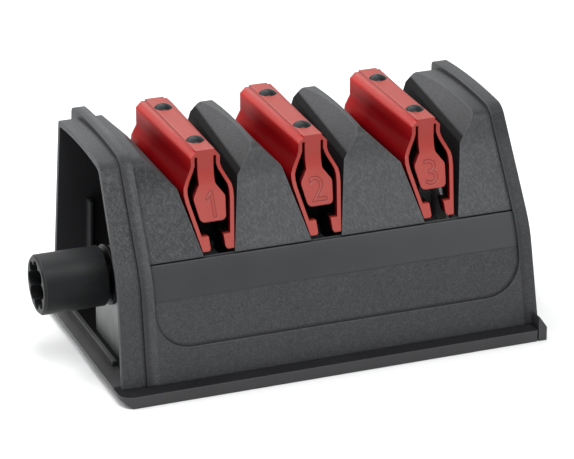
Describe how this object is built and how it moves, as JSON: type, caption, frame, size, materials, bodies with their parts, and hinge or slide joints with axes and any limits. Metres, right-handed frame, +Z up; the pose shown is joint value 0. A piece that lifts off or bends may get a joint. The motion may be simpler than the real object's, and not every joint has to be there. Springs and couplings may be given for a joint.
{
  "type": "knife sharpener module",
  "caption": "Drop-in powered knife sharpening module: numbered spring guides over paired sprung abrasive disks on a driven shaft, in a finned housing on a flat base.",
  "frame": {"origin": "centre of the base plate's underside", "axes": "+X along the shaft away from the drive coupling, -Y towards the front field, +Z up"},
  "size_m": [0.2213, 0.118, 0.1014],
  "materials": {
    "housing": "fine moulded grain",
    "base": "satin moulded",
    "black_screws": "blackened",
    "guide": "smooth satin",
    "rivet": "dark gloss",
    "sheet": "zinc plated sheet",
    "zinc": "zinc plated",
    "bush": "smooth bearing plastic",
    "steel": "ground",
    "coupling": "satin moulded",
    "spring_steel": "drawn wire and strip",
    "coarse": "coarse abrasive coat on steel",
    "fine": "fine abrasive coat on steel",
    "polish": "flexible polishing compound"
  },
  "bodies": {
    "root": {"housing": "housing", "base_plate": "base", "base_screws": "black_screws", "guide_1": "guide", "guide_2": "guide", "guide_3": "guide", "guide_rivets": "rivet", "left_bracket": "sheet", "right_bracket": "sheet", "bracket_screws": "zinc", "left_bush": "bush", "right_bush": "bush"},
    "rotor": {"drive_shaft": "steel", "drive_coupling": "coupling", "coupling_pin": "steel", "drive_pins": "steel", "shaft_clip": "spring_steel", "coarse_spring": "spring_steel", "fine_spring": "spring_steel", "polish_spring": "spring_steel"},
    "coarse_left": {"coarse_disk_left": "coarse"},
    "coarse_right": {"coarse_disk_right": "coarse"},
    "fine_left": {"fine_disk_left": "fine"},
    "fine_right": {"fine_disk_right": "fine"},
    "polish_left": {"polish_disk_left": "polish"},
    "polish_right": {"polish_disk_right": "polish"}
  },
  "joints": [
    {"name": "drive_spin", "type": "hinge", "parent": "root", "child": "rotor", "pos_m": [0, -0.007, 0.0408], "axis": [1, 0, 0], "continuous": true},
    {"name": "coarse_left_slide", "type": "slide", "parent": "rotor", "child": "coarse_left", "axis": [1, 0, 0], "range_m": [0, 0.0022], "stiffness_N_per_m": 1200, "springref_m": -0.003, "deforming": ["coarse_spring"]},
    {"name": "coarse_right_slide", "type": "slide", "parent": "rotor", "child": "coarse_right", "axis": [-1, 0, 0], "range_m": [0, 0.0022], "stiffness_N_per_m": 1200, "springref_m": -0.003, "deforming": ["coarse_spring"]},
    {"name": "fine_left_slide", "type": "slide", "parent": "rotor", "child": "fine_left", "axis": [1, 0, 0], "range_m": [0, 0.0022], "stiffness_N_per_m": 1200, "springref_m": -0.003, "deforming": ["fine_spring"]},
    {"name": "fine_right_slide", "type": "slide", "parent": "rotor", "child": "fine_right", "axis": [-1, 0, 0], "range_m": [0, 0.0022], "stiffness_N_per_m": 1200, "springref_m": -0.003, "deforming": ["fine_spring"]},
    {"name": "polish_left_slide", "type": "slide", "parent": "rotor", "child": "polish_left", "axis": [1, 0, 0], "range_m": [0, 0.0022], "stiffness_N_per_m": 1200, "springref_m": -0.003, "deforming": ["polish_spring"]},
    {"name": "polish_right_slide", "type": "slide", "parent": "rotor", "child": "polish_right", "axis": [-1, 0, 0], "range_m": [0, 0.0022], "stiffness_N_per_m": 1200, "springref_m": -0.003, "deforming": ["polish_spring"]}
  ]
}
